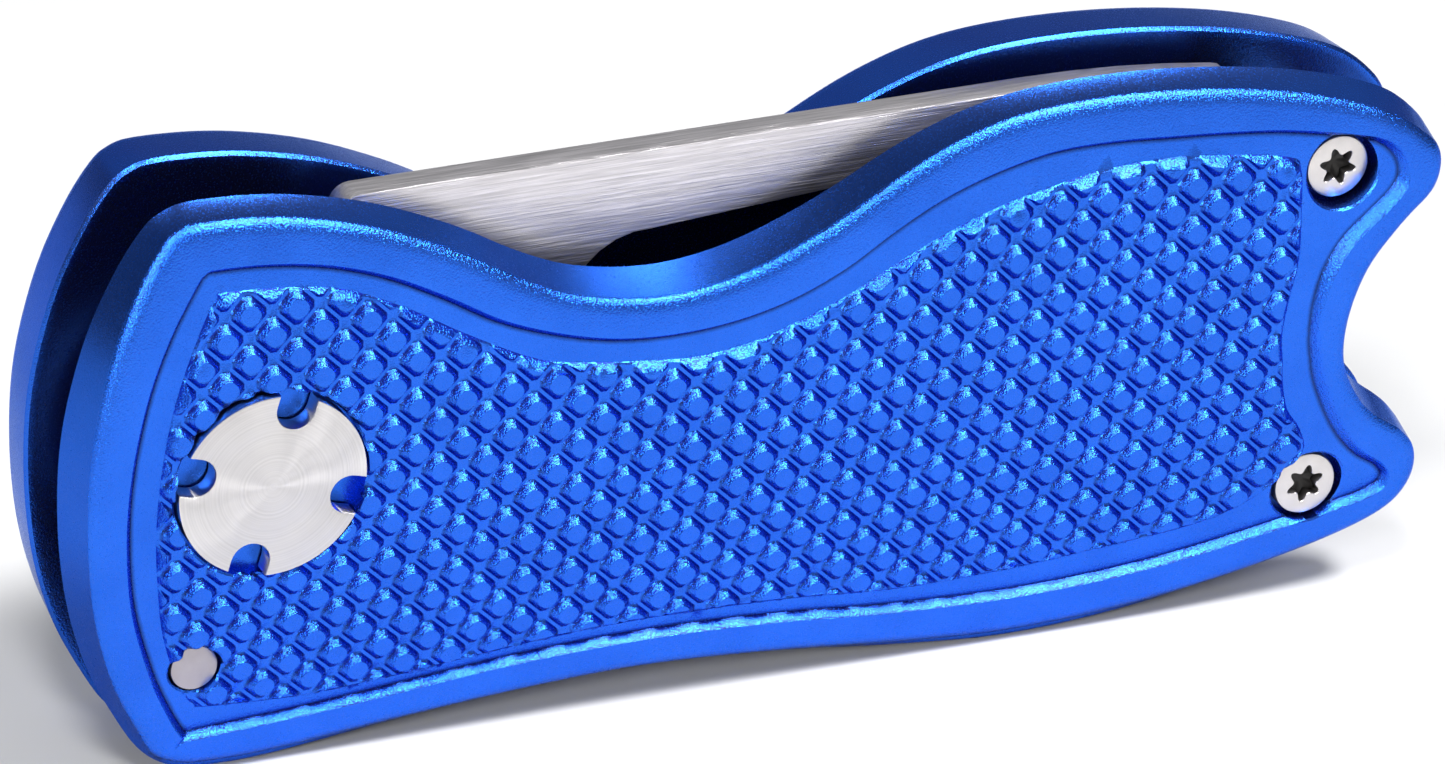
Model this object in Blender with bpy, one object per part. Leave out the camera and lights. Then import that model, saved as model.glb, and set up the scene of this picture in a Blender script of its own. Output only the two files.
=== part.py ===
"""Folding divot repair tool: two metal scales with a spring-driven steel fork between them.

The tool stands on its long lower edge. +X runs along the handle from the pivot end to the
notched butt, -Y is the textured face and +Z is up. Sizes are in millimetres here and are
turned into metres when each mesh is made.
"""
import math

import bmesh
import bpy
import numpy as np
from mathutils import Vector
from mathutils.geometry import delaunay_2d_cdt

MM = 0.001

# Stack of plates across the tool, along Y
TEXTURED_FRONT = -6.45      # highest line of the crowned, textured face
TEXTURED_BACK = -3.05       # its flat inner face
FORK_FRONT = -1.65
FORK_BACK = 0.20
MARKER_INNER = 2.05         # inner face of the scale that carries the ball marker
MARKER_OUTER = 6.45

# Shape of the scales
CROWN_RADIUS = 68.5         # the textured face is part of a cylinder lying along X
CROWN_HEIGHT = 19.2         # Z of that cylinder's highest line
EDGE_RADIUS = 0.6           # rounding of the textured face's rim
OUTER_EDGE_RADIUS = 1.0     # rounding of the marker face's rim
DRAFT = 0.35                # how much smaller a scale is at its outer face
INNER_CHAMFER = 0.2
CURVE_STEPS = 3             # straight pieces between two outline points
GRID_STEP = 4.0             # spacing of the rows that carry the crown

# Places in the XZ plane
PIVOT = (-30.1, 18.67)
UPPER_SCREW = (34.46, 27.83)
LOWER_SCREW = (34.22, 7.58)
STOP_PIN = (-33.77, 7.22)
BUTTON = (-24.3, 7.3)
MARKER = (-10.5, 14.6)

# Fits
GAP = 0.15                  # clearance where two pieces touch

# Pivot
CAP_RADIUS = 5.46
CAP_THICKNESS = 1.2
CAP_FRONT = -6.40
NOTCH_HALF_WIDTH = 1.12
NOTCH_DEPTH = 1.95
NOTCH_FIRST_ANGLE = -15.0
STEM_RADIUS = 2.0
STEM_END = 4.0
BARREL_RADIUS = 3.4
BARREL_FRONT = -4.95
BARREL_FLANGE_RADIUS = 5.0
BARREL_FLANGE_THICKNESS = 1.2
BARREL_FLANGE_TOP = 6.30
SPANNER_HOLE_RADIUS = 0.6
SPANNER_HOLE_OFFSET = 3.1
SPANNER_HOLE_DEPTH = 0.7
WASHER_RADIUS = 6.2

# Fork
FORK_TILT = 0.85            # degrees above the base line when the fork is stowed
FORK_CENTRELINE = 4.88      # height of the fork's middle above the pivot
FORK_HALF_WIDTH = 9.5
FORK_REACH = 59.45
SHOULDER = 5.37
FORK_CORNER_RADIUS = 1.2
TANG_RADIUS = 9.4
SLOT_RADIUS = 4.6
SLOT_END = 23.55
TINE_INNER_TIP = 6.95       # from the middle of the fork to the inner side of a tine's tip
TINE_OUTER_TIP = 8.6
TAPER_START = 47.0

# Torsion spring that swings the fork out
SPRING_WIRE = 0.35
SPRING_RADIUS = 5.25
SPRING_PITCH = 0.82
SPRING_TURNS = 2.25
SPRING_WELL_RADIUS = 6.4
SPRING_WELL_FLOOR = 3.05
SPRING_LEG = 5.0
BUSH_RADIUS = 4.5

# Screws, spacers and stop pin
SCREW_HEAD_RADIUS = 1.9
SCREW_HEAD_THICKNESS = 0.9
SCREW_SHANK_RADIUS = 0.95
SCREW_SHANK_LENGTH = 3.6
SCREW_HEAD_CHAMFER = 0.12
SCREW_RECESS_RADIUS = 2.25
STAR_OUTER = 1.15
STAR_INNER = 0.72
STAR_DEPTH = 0.7
UPPER_HEAD_TOP = -4.70
LOWER_HEAD_TOP = -4.70
MARKER_HEAD_TOP = 6.20
SPACER_RADIUS = 2.2
STOP_PIN_RADIUS = 1.37
STOP_PIN_FRONT = -4.80
STOP_PIN_BACK = 4.60
STOP_PIN_CHAMFER = 0.1

# Push button
BUTTON_RADIUS = 2.4
BUTTON_TOP = 6.40
BUTTON_THICKNESS = 1.2
PLUNGER_RADIUS = 1.4
PLUNGER_END = -0.9
BUTTON_STEP = 3.0
BUTTON_EDGE = 0.4
PLUNGER_CHAMFER = 0.3
CLIP_GROOVE_DEPTH = 0.35
CLIP_RADIUS = 2.7
CLIP_FRONT = 1.45
CLIP_THICKNESS = 0.4
BUTTON_SPRING_WIRE = 0.15
BUTTON_SPRING_TURNS = 4

# Ball marker and its magnet
MARKER_RADIUS = 10.0
MARKER_TOP = 6.40
MARKER_THICKNESS = 1.5
MARKER_RIM = 1.3
MARKER_EDGE = 0.3
MARKER_CHAMFER = 0.2
INLAY_DEPTH = 0.55
MAGNET_RADIUS = 4.0
MAGNET_THICKNESS = 1.1
FINGER_NOTCH_OFFSET = 11.2  # from the middle of the marker
FINGER_NOTCH_RADIUS = 3.0
FINGER_NOTCH_FLOOR = 5.3

# Outline of both scales, clockwise from the lower left corner: (x, z)
OUTLINE = [
    (-36.2, 1.6), (-37.9, 4.2), (-39.6, 7.7), (-40.8, 12.0), (-41.35, 17.0), (-41.2, 22.2),
    (-40.1, 27.3), (-38.6, 31.0), (-37.1, 33.5), (-35.9, 34.6), (-34.0, 35.05), (-29.3, 34.75),
    (-24.0, 33.5), (-19.0, 31.4), (-15.0, 29.2), (-11.5, 27.8), (-7.0, 27.2), (-2.5, 27.85),
    (2.5, 29.8), (8.0, 32.7), (13.0, 34.4), (18.5, 34.95), (25.0, 34.7), (31.5, 33.7),
    (36.9, 32.05), (39.6, 30.2), (40.9, 28.2), (40.5, 26.0), (38.6, 24.1), (36.6, 21.6),
    (35.6, 18.5), (35.75, 15.6), (37.2, 13.4), (39.6, 11.4), (41.1, 9.2), (41.15, 6.8),
    (39.6, 4.7), (35.5, 2.95), (29.0, 1.3), (22.5, 0.3), (16.0, 0.0), (9.5, 0.5),
    (2.0, 1.35), (-6.5, 1.9), (-14.0, 1.6), (-22.0, 0.85), (-28.0, 0.15), (-31.5, 0.0),
    (-34.2, 0.3),
]

BLUE = (0.012, 0.115, 0.72, 1.0)
STEEL = (0.62, 0.60, 0.58, 1.0)
SPRING_STEEL = (0.35, 0.34, 0.33, 1.0)
MAGNET_GREY = (0.45, 0.45, 0.46, 1.0)
ENAMEL = (0.72, 0.74, 0.76, 1.0)
POLYMER = (0.05, 0.05, 0.055, 1.0)


def clear_scene():
    for item in list(bpy.data.objects):
        bpy.data.objects.remove(item, do_unlink=True)


def material(name, colour, roughness, metallic):
    made = bpy.data.materials.new(name)
    made.use_nodes = True
    shader = made.node_tree.nodes["Principled BSDF"]
    shader.inputs["Base Color"].default_value = colour
    shader.inputs["Roughness"].default_value = roughness
    shader.inputs["Metallic"].default_value = metallic
    return made


def add_object(name, vertices, faces, finish=None, origin=(0.0, 0.0, 0.0)):
    """Make a closed mesh object from millimetre points given relative to origin."""
    mesh = bpy.data.meshes.new(name)
    mesh.from_pydata([Vector(v) * MM for v in vertices], [], faces)
    work = bmesh.new()
    work.from_mesh(mesh)
    bmesh.ops.recalc_face_normals(work, faces=work.faces)
    work.to_mesh(mesh)
    work.free()
    mesh.shade_smooth()
    mesh.set_sharp_from_angle(angle=math.radians(35))
    item = bpy.data.objects.new(name, mesh)
    item.location = Vector(origin) * MM
    bpy.context.collection.objects.link(item)
    if finish:
        item.data.materials.append(finish)
    return item


def as_cutter(item):
    item.hide_render = True
    item.display_type = "WIRE"
    return item


def combine(target, other, operation):
    boolean = target.modifiers.new(other.name, "BOOLEAN")
    boolean.operation = operation
    boolean.solver = "EXACT"
    boolean.object = other


# ---- plane geometry -----------------------------------------------------------------

def smooth_loop(points, steps):
    """Closed Catmull-Rom curve through the points."""
    count = len(points)
    knots = [Vector(p) for p in points]
    loop = []
    for i in range(count):
        before, start = knots[i - 1], knots[i]
        end, after = knots[(i + 1) % count], knots[(i + 2) % count]
        for step in range(steps):
            t = step / steps
            bend = 2 * before - 5 * start + 4 * end - after
            twist = 3 * start - before - 3 * end + after
            loop.append(start + 0.5 * t * ((end - before) + t * (bend + t * twist)))
    return loop


def inset_loop(loop, distance):
    """Move each point of a clockwise loop towards its inside."""
    moved = []
    for i, point in enumerate(loop):
        along = (loop[(i + 1) % len(loop)] - loop[i - 1]).normalized()
        moved.append(point + Vector((along.y, -along.x)) * distance)
    return moved


def circle(centre, radius, count, first_angle=0.0):
    turn = math.tau / count
    return [Vector((centre[0] + radius * math.cos(first_angle + i * turn),
                    centre[1] + radius * math.sin(first_angle + i * turn)))
            for i in range(count)]


def arc(centre, radius, start, end, count):
    """Points on an arc from start to end, both in degrees."""
    angles = np.radians(np.linspace(start, end, count))
    return [Vector((centre[0] + radius * math.cos(a), centre[1] + radius * math.sin(a)))
            for a in angles]


def filled(loop, inner_points=()):
    """Triangles that fill a loop, with extra points inside it."""
    points = list(loop) + list(inner_points)
    edges = [(i, (i + 1) % len(loop)) for i in range(len(loop))]
    result = delaunay_2d_cdt(points, edges, [], 1, 1e-6)
    return result[0], [tuple(face) for face in result[2]]


def inside(point, loop):
    crossings = False
    for i, a in enumerate(loop):
        b = loop[i - 1]
        if (a.y > point.y) != (b.y > point.y):
            if point.x < (b.x - a.x) * (point.y - a.y) / (b.y - a.y) + a.x:
                crossings = not crossings
    return crossings


def distance_to_loop(point, loop):
    return min((point - corner).length for corner in loop)


# ---- solids ---------------------------------------------------------------------------

def prism(name, loop, front, back, finish=None, origin=(0.0, 0.0)):
    """A plate of constant thickness whose outline lies in the XZ plane."""
    count = len(loop)
    vertices = [(p.x, front, p.y) for p in loop] + [(p.x, back, p.y) for p in loop]
    _, triangles = filled(loop)
    faces = list(triangles)
    faces += [tuple(i + count for i in reversed(t)) for t in triangles]
    faces += [(i, (i + 1) % count, (i + 1) % count + count, i + count) for i in range(count)]
    return add_object(name, vertices, faces, finish, (origin[0], 0.0, origin[1]))


def turned(name, profile, centre, finish=None, sides=32):
    """Turn a closed profile of (radius, y) corners about the line through centre along Y."""
    vertices = []
    rings = []
    for radius, y in profile:
        if radius < 1e-9:
            rings.append([len(vertices)] * sides)
            vertices.append((0.0, y, 0.0))
            continue
        rings.append(list(range(len(vertices), len(vertices) + sides)))
        vertices += [(p.x, y, p.y) for p in circle((0, 0), radius, sides)]
    faces = []
    for ring, following in zip(rings, rings[1:] + rings[:1]):
        for i in range(sides):
            j = (i + 1) % sides
            corners = [ring[i], ring[j], following[j], following[i]]
            corners = list(dict.fromkeys(corners))
            if len(corners) > 2:
                faces.append(tuple(corners))
    return add_object(name, vertices, faces, finish, (centre[0], 0.0, centre[1]))


def tube(name, path, radius, finish, centre, sides=8):
    """A round wire along a path of points, closed at both ends."""
    vertices = []
    normal = Vector((0.0, 1.0, 0.0))
    for i, point in enumerate(path):
        along = (path[min(i + 1, len(path) - 1)] - path[max(i - 1, 0)]).normalized()
        normal = (normal - along * normal.dot(along)).normalized()
        side = along.cross(normal)
        for k in range(sides):
            angle = math.tau * k / sides
            vertices.append(point + radius * (math.cos(angle) * normal + math.sin(angle) * side))
    faces = []
    for i in range(len(path) - 1):
        for k in range(sides):
            a, b = i * sides + k, i * sides + (k + 1) % sides
            faces.append((a, b, b + sides, a + sides))
    last = (len(path) - 1) * sides
    faces.append(tuple(range(sides)))
    faces.append(tuple(range(last + sides - 1, last - 1, -1)))
    return add_object(name, vertices, faces, finish, (centre[0], 0.0, centre[1]))


def crown(z):
    """Y of the textured face at height z."""
    return TEXTURED_FRONT + (z - CROWN_HEIGHT) ** 2 / (2 * CROWN_RADIUS)


def scale_plate(name, outer_face, inner_face, edge_radius, finish):
    """A scale: flat inner face, drafted side wall, rounded rim and the given outer face."""
    outline = smooth_loop(OUTLINE, CURVE_STEPS)
    away = 1.0 if inner_face > outer_face(CROWN_HEIGHT) else -1.0
    rings = []
    chamfered = inset_loop(outline, INNER_CHAMFER)
    rings.append([(p.x, inner_face, p.y) for p in chamfered])
    rings.append([(p.x, inner_face - away * INNER_CHAMFER, p.y) for p in outline])
    for angle in (0.0, 30.0, 60.0, 90.0):
        turn = math.radians(angle)
        loop = inset_loop(outline, DRAFT + edge_radius * (1 - math.cos(turn)))
        depth = away * edge_radius * (1 - math.sin(turn))
        rings.append([(p.x, outer_face(p.y) + depth, p.y) for p in loop])
    count = len(outline)
    vertices = [corner for ring in rings for corner in ring]
    faces = []
    for k in range(len(rings) - 1):
        for i in range(count):
            j = (i + 1) % count
            faces.append((k * count + i, k * count + j, (k + 1) * count + j, (k + 1) * count + i))
    _, inner_triangles = filled(chamfered)
    faces += [tuple(reversed(t)) for t in inner_triangles]
    rim = inset_loop(outline, DRAFT + edge_radius)
    rows = []
    highest = max(p.y for p in rim)
    rightmost = max(p.x for p in rim)
    for z in np.arange(GRID_STEP / 2, highest, GRID_STEP):
        for x in np.arange(-rightmost, rightmost, 2 * GRID_STEP):
            spot = Vector((float(x), float(z)))
            if inside(spot, rim) and distance_to_loop(spot, rim) > GRID_STEP / 2:
                rows.append(spot)
    points, outer_triangles = filled(rim, rows)
    base = (len(rings) - 1) * count
    extra = len(vertices) - count
    vertices += [(p.x, outer_face(p.y), p.y) for p in points[count:]]
    faces += [tuple(i + (base if i < count else extra) for i in t) for t in outer_triangles]
    return add_object(name, vertices, faces, finish)


def stepped_cutter(name, centre, steps):
    """Round cutter of several diameters; steps are (radius, start y, end y) in order."""
    profile = [(0.0, steps[0][1])]
    for radius, start, end in steps:
        profile += [(radius, start), (radius, end)]
    profile.append((0.0, steps[-1][2]))
    return as_cutter(turned(name, profile, centre, sides=36))


# ---- pieces ---------------------------------------------------------------------------

def make_textured_scale(finish):
    scale = scale_plate("textured_scale", crown, TEXTURED_BACK, EDGE_RADIUS, finish)
    beyond = TEXTURED_FRONT - 1.0
    inner = TEXTURED_BACK + 1.0
    cap_floor = CAP_FRONT + CAP_THICKNESS + GAP
    cutters = [stepped_cutter("cut_cap_seat", PIVOT, [
        (CAP_RADIUS + GAP, beyond, cap_floor), (BARREL_RADIUS + GAP, cap_floor, inner)])]
    for place, head_top in ((UPPER_SCREW, UPPER_HEAD_TOP), (LOWER_SCREW, LOWER_HEAD_TOP)):
        floor = head_top + SCREW_HEAD_THICKNESS + GAP
        cutters.append(stepped_cutter(f"cut_screw_seat_{round(place[1])}", place, [
            (SCREW_RECESS_RADIUS, beyond, floor), (SCREW_SHANK_RADIUS + GAP, floor, inner)]))
    cutters.append(stepped_cutter("cut_stop_pin_hole", STOP_PIN, [
        (STOP_PIN_RADIUS + GAP, beyond, inner)]))
    for cutter in cutters:
        combine(scale, cutter, "DIFFERENCE")


def make_marker_scale(finish):
    scale = scale_plate("marker_scale", lambda z: MARKER_OUTER, MARKER_INNER,
                        OUTER_EDGE_RADIUS, finish)
    beyond = MARKER_OUTER + 1.0
    inner = MARKER_INNER - 1.0
    flange_floor = BARREL_FLANGE_TOP - BARREL_FLANGE_THICKNESS - GAP
    marker_floor = MARKER_TOP - MARKER_THICKNESS - GAP
    magnet_floor = marker_floor - MAGNET_THICKNESS - 2 * GAP
    cutters = [
        stepped_cutter("cut_barrel_seat", PIVOT, [
            (SPRING_WELL_RADIUS, inner, SPRING_WELL_FLOOR),
            (BARREL_RADIUS + GAP, SPRING_WELL_FLOOR, flange_floor),
            (BARREL_FLANGE_RADIUS + GAP, flange_floor, beyond)]),
        stepped_cutter("cut_marker_seat", MARKER, [
            (MAGNET_RADIUS + GAP, magnet_floor, marker_floor),
            (MARKER_RADIUS + GAP, marker_floor, beyond)]),
        stepped_cutter("cut_button_bore", BUTTON, [
            (PLUNGER_RADIUS + GAP, inner, BUTTON_STEP),
            (BUTTON_RADIUS + GAP, BUTTON_STEP, beyond)]),
        stepped_cutter("cut_stop_pin_socket", STOP_PIN, [
            (STOP_PIN_RADIUS + GAP, inner, STOP_PIN_BACK + GAP)]),
        stepped_cutter("cut_finger_notch", (MARKER[0] + FINGER_NOTCH_OFFSET, MARKER[1]), [
            (FINGER_NOTCH_RADIUS, FINGER_NOTCH_FLOOR, beyond)]),
    ]
    floor = MARKER_HEAD_TOP - SCREW_HEAD_THICKNESS - GAP
    for place in (UPPER_SCREW, LOWER_SCREW):
        cutters.append(stepped_cutter(f"cut_back_screw_seat_{round(place[1])}", place, [
            (SCREW_SHANK_RADIUS + GAP, inner, floor), (SCREW_RECESS_RADIUS, floor, beyond)]))
    for cutter in cutters:
        combine(scale, cutter, "DIFFERENCE")


def fork_outline():
    """Outline of the fork about its pivot, with its middle line level."""
    middle = FORK_CENTRELINE
    top = middle + FORK_HALF_WIDTH
    bottom = middle - FORK_HALF_WIDTH
    shoulder_angle = math.degrees(math.acos(SHOULDER / TANG_RADIUS))
    heel_angle = math.degrees(math.asin(bottom / TANG_RADIUS))
    corner = FORK_CORNER_RADIUS
    tip_middle = (TINE_OUTER_TIP + TINE_INNER_TIP) / 2
    tip_radius = (TINE_OUTER_TIP - TINE_INNER_TIP) / 2
    upper = arc((SHOULDER + corner, top - corner), corner, 180, 90, 6)
    for share in (0.0, 0.25, 0.5, 0.75, 1.0):
        x = TAPER_START + (FORK_REACH - tip_radius - TAPER_START) * share
        drop = (FORK_HALF_WIDTH - TINE_OUTER_TIP) * share ** 2
        upper.append(Vector((x, top - drop)))
    upper += arc((FORK_REACH - tip_radius, middle + tip_middle), tip_radius, 60, -75, 6)
    slot = arc((SLOT_END, middle), SLOT_RADIUS, 86, 274, 15)
    lower = [Vector((p.x, 2 * middle - p.y)) for p in reversed(upper)]
    lower = [p for p in lower if p.x > SHOULDER + 2 * corner]
    tang = arc((0, 0), TANG_RADIUS, heel_angle, shoulder_angle - 360, 40)
    return upper + slot + lower + tang


def make_fork(finish):
    fork = prism("fork", fork_outline(), FORK_FRONT, FORK_BACK, finish, PIVOT)
    fork.rotation_euler = (0.0, math.radians(-FORK_TILT), 0.0)
    combine(fork, stepped_cutter("cut_fork_bore", PIVOT, [
        (BARREL_RADIUS + GAP, FORK_FRONT - 1.0, FORK_BACK + 1.0)]), "DIFFERENCE")


def cap_outline():
    """Round cap with four round-ended spanner notches in its rim."""
    loop = []
    half = math.degrees(math.asin(NOTCH_HALF_WIDTH / CAP_RADIUS))
    radius = NOTCH_HALF_WIDTH
    for k in range(4):
        middle = NOTCH_FIRST_ANGLE + 90 * k
        loop += arc((0, 0), CAP_RADIUS, middle - 90 + half, middle - half, 12)
        turn = math.radians(middle)
        reach = CAP_RADIUS - NOTCH_DEPTH + radius
        centre = (reach * math.cos(turn), reach * math.sin(turn))
        loop += arc(centre, radius, middle - 90, middle - 270, 9)
    return loop


def make_pivot(steel, spring_steel, polymer):
    cap_back = CAP_FRONT + CAP_THICKNESS
    cap = prism("pivot_cap", cap_outline(), CAP_FRONT, cap_back, steel, PIVOT)
    stem = as_cutter(turned("join_cap_stem", [
        (0.0, CAP_FRONT + 0.5), (STEM_RADIUS, CAP_FRONT + 0.5), (STEM_RADIUS, STEM_END),
        (0.0, STEM_END)], PIVOT))
    combine(cap, stem, "UNION")

    bore = STEM_RADIUS + GAP
    flange_bottom = BARREL_FLANGE_TOP - BARREL_FLANGE_THICKNESS
    barrel = turned("pivot_barrel", [
        (bore, BARREL_FRONT), (BARREL_RADIUS, BARREL_FRONT), (BARREL_RADIUS, flange_bottom),
        (BARREL_FLANGE_RADIUS, flange_bottom), (BARREL_FLANGE_RADIUS, BARREL_FLANGE_TOP),
        (0.0, BARREL_FLANGE_TOP), (0.0, STEM_END + GAP), (bore, STEM_END + GAP)], PIVOT, steel)
    for side in (-1, 1):
        hole = stepped_cutter(f"cut_spanner_hole_{side}", (
            PIVOT[0] + side * SPANNER_HOLE_OFFSET, PIVOT[1]), [
            (SPANNER_HOLE_RADIUS, BARREL_FLANGE_TOP - SPANNER_HOLE_DEPTH, BARREL_FLANGE_TOP + 1.0)])
        combine(barrel, hole, "DIFFERENCE")

    ring_hole = BARREL_RADIUS + GAP
    washer_front, washer_back = TEXTURED_BACK + GAP, FORK_FRONT - GAP
    turned("front_washer", [
        (ring_hole, washer_front), (WASHER_RADIUS, washer_front),
        (WASHER_RADIUS, washer_back), (ring_hole, washer_back)], PIVOT, steel)
    bush_front, bush_back = FORK_BACK + GAP, SPRING_WELL_FLOOR - GAP
    turned("spring_bush", [
        (ring_hole, bush_front), (BUSH_RADIUS, bush_front),
        (BUSH_RADIUS, bush_back), (ring_hole, bush_back)], PIVOT, polymer)

    tube("torsion_spring", torsion_spring_path(), SPRING_WIRE, spring_steel, PIVOT)


def torsion_spring_path():
    """Coil about the pivot with one straight leg at each end."""
    first_y = FORK_BACK + GAP + SPRING_WIRE
    per_turn = 22
    path = []
    total = int(SPRING_TURNS * per_turn)
    for i in range(total + 1):
        turn = math.tau * i / per_turn
        path.append(Vector((SPRING_RADIUS * math.cos(turn),
                            first_y + SPRING_PITCH * i / per_turn,
                            SPRING_RADIUS * math.sin(turn))))
    start_leg = path[0] + Vector((0.0, 0.0, -SPRING_LEG))
    last_turn = math.tau * total / per_turn
    outward = Vector((-math.sin(last_turn), 0.0, math.cos(last_turn)))
    end_leg = path[-1] + 0.5 * outward
    return [start_leg] + path + [end_leg]


def star_outline(turn):
    """Six-lobed driver socket."""
    loop = []
    for k in range(12):
        radius = STAR_OUTER if k % 2 == 0 else STAR_INNER
        angle = math.radians(turn + 30 * k)
        loop.append(Vector((radius * math.cos(angle), radius * math.sin(angle))))
    return loop


def make_screw(name, place, head_top, inward, turn, finish):
    """A flat-headed screw; inward is +1 or -1, the way its shank points along Y."""
    head_back = head_top + inward * SCREW_HEAD_THICKNESS
    shank_end = head_back + inward * SCREW_SHANK_LENGTH
    chamfer = SCREW_HEAD_CHAMFER
    screw = turned(name, [
        (0.0, head_top), (SCREW_HEAD_RADIUS - chamfer, head_top),
        (SCREW_HEAD_RADIUS, head_top + inward * chamfer), (SCREW_HEAD_RADIUS, head_back),
        (SCREW_SHANK_RADIUS, head_back), (SCREW_SHANK_RADIUS, shank_end), (0.0, shank_end)],
        place, finish)
    star = prism(f"cut_star_{name}", star_outline(turn), head_top - inward,
                 head_top + inward * STAR_DEPTH, origin=place)
    combine(screw, as_cutter(star), "DIFFERENCE")


def make_fasteners(steel):
    make_screw("textured_upper_screw", UPPER_SCREW, UPPER_HEAD_TOP, 1, -13, steel)
    make_screw("textured_lower_screw", LOWER_SCREW, LOWER_HEAD_TOP, 1, 21, steel)
    make_screw("marker_upper_screw", UPPER_SCREW, MARKER_HEAD_TOP, -1, 10, steel)
    make_screw("marker_lower_screw", LOWER_SCREW, MARKER_HEAD_TOP, -1, 40, steel)
    front, back = TEXTURED_BACK + GAP, MARKER_INNER - GAP
    bore = SCREW_SHANK_RADIUS + GAP
    for name, place in (("upper_spacer", UPPER_SCREW), ("lower_spacer", LOWER_SCREW)):
        turned(name, [(bore, front), (SPACER_RADIUS, front), (SPACER_RADIUS, back),
                      (bore, back)], place, steel)
    turned("stop_pin", [
        (0.0, STOP_PIN_FRONT), (STOP_PIN_RADIUS - STOP_PIN_CHAMFER, STOP_PIN_FRONT),
        (STOP_PIN_RADIUS, STOP_PIN_FRONT + STOP_PIN_CHAMFER), (STOP_PIN_RADIUS, STOP_PIN_BACK),
        (0.0, STOP_PIN_BACK)], STOP_PIN, steel)


def make_button(steel, spring_steel):
    cap_bottom = BUTTON_TOP - BUTTON_THICKNESS
    groove_radius = PLUNGER_RADIUS - CLIP_GROOVE_DEPTH
    groove_front, groove_back = CLIP_FRONT - GAP, CLIP_FRONT + CLIP_THICKNESS + GAP
    turned("push_button", [
        (0.0, PLUNGER_END), (PLUNGER_RADIUS - PLUNGER_CHAMFER, PLUNGER_END),
        (PLUNGER_RADIUS, PLUNGER_END + PLUNGER_CHAMFER), (PLUNGER_RADIUS, groove_front),
        (groove_radius, groove_front), (groove_radius, groove_back),
        (PLUNGER_RADIUS, groove_back), (PLUNGER_RADIUS, cap_bottom),
        (BUTTON_RADIUS, cap_bottom), (BUTTON_RADIUS, BUTTON_TOP - BUTTON_EDGE),
        (BUTTON_RADIUS - BUTTON_EDGE, BUTTON_TOP - BUTTON_EDGE / 4), (0.0, BUTTON_TOP)],
        BUTTON, steel)
    ring_hole = groove_radius + GAP
    turned("button_clip", [
        (ring_hole, CLIP_FRONT), (CLIP_RADIUS, CLIP_FRONT),
        (CLIP_RADIUS, CLIP_FRONT + CLIP_THICKNESS), (ring_hole, CLIP_FRONT + CLIP_THICKNESS)],
        BUTTON, spring_steel)
    first = BUTTON_STEP + GAP + BUTTON_SPRING_WIRE
    rise = cap_bottom - GAP - BUTTON_SPRING_WIRE - first
    radius = (PLUNGER_RADIUS + BUTTON_RADIUS) / 2 + 0.03
    per_turn = 16
    total = BUTTON_SPRING_TURNS * per_turn
    path = [Vector((radius * math.cos(math.tau * i / per_turn), first + rise * i / total,
                    radius * math.sin(math.tau * i / per_turn))) for i in range(total + 1)]
    tube("button_spring", path, BUTTON_SPRING_WIRE, spring_steel, BUTTON, sides=6)


def make_ball_marker(steel, magnet_finish, enamel):
    bottom = MARKER_TOP - MARKER_THICKNESS
    floor = MARKER_TOP - INLAY_DEPTH
    rim = MARKER_RADIUS - MARKER_RIM
    turned("ball_marker", [
        (0.0, bottom), (MARKER_RADIUS - MARKER_CHAMFER, bottom),
        (MARKER_RADIUS, bottom + MARKER_CHAMFER),
        (MARKER_RADIUS, MARKER_TOP - MARKER_EDGE), (MARKER_RADIUS - MARKER_EDGE, MARKER_TOP),
        (rim, MARKER_TOP), (rim, floor), (0.0, floor)], MARKER, steel, sides=48)
    turned("marker_inlay", [
        (0.0, floor + GAP), (rim - GAP, floor + GAP), (rim - GAP, MARKER_TOP - GAP),
        (0.0, MARKER_TOP - GAP)], MARKER, enamel, sides=48)
    magnet_back = bottom - 2 * GAP
    magnet_front = magnet_back - MAGNET_THICKNESS
    turned("marker_magnet", [
        (0.0, magnet_front), (MAGNET_RADIUS, magnet_front), (MAGNET_RADIUS, magnet_back),
        (0.0, magnet_back)], MARKER, magnet_finish)


def main():
    clear_scene()
    anodised = material("blue_anodised", BLUE, 0.38, 1.0)
    steel = material("brushed_steel", STEEL, 0.32, 1.0)
    spring_steel = material("spring_steel", SPRING_STEEL, 0.4, 1.0)
    magnet_finish = material("magnet_plating", MAGNET_GREY, 0.3, 1.0)
    enamel = material("enamel", ENAMEL, 0.2, 0.0)
    polymer = material("polymer", POLYMER, 0.5, 0.0)
    make_textured_scale(anodised)
    make_marker_scale(anodised)
    make_fork(steel)
    make_pivot(steel, spring_steel, polymer)
    make_fasteners(steel)
    make_button(steel, spring_steel)
    make_ball_marker(steel, magnet_finish, enamel)


main()
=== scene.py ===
"""Looks of the folding divot repair tool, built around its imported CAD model.

The tool stands on its long lower edge. +X runs along the handle from the pivot end to the
notched butt, -Y is the textured face and +Z is up. Flat outlines are (x, z) points in
millimetres and are turned into metres when a mesh is made.
"""
import math
from collections import namedtuple

import bmesh
import bpy
import numpy as np
from mathutils import Matrix, Vector
from mathutils.geometry import delaunay_2d_cdt


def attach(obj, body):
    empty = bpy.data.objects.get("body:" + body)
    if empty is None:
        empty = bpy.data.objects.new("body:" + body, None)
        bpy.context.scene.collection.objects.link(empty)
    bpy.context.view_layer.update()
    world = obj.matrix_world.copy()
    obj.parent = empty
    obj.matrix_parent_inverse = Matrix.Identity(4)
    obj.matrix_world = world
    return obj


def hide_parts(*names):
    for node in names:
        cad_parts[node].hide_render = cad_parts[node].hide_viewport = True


MM = 0.001

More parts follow.
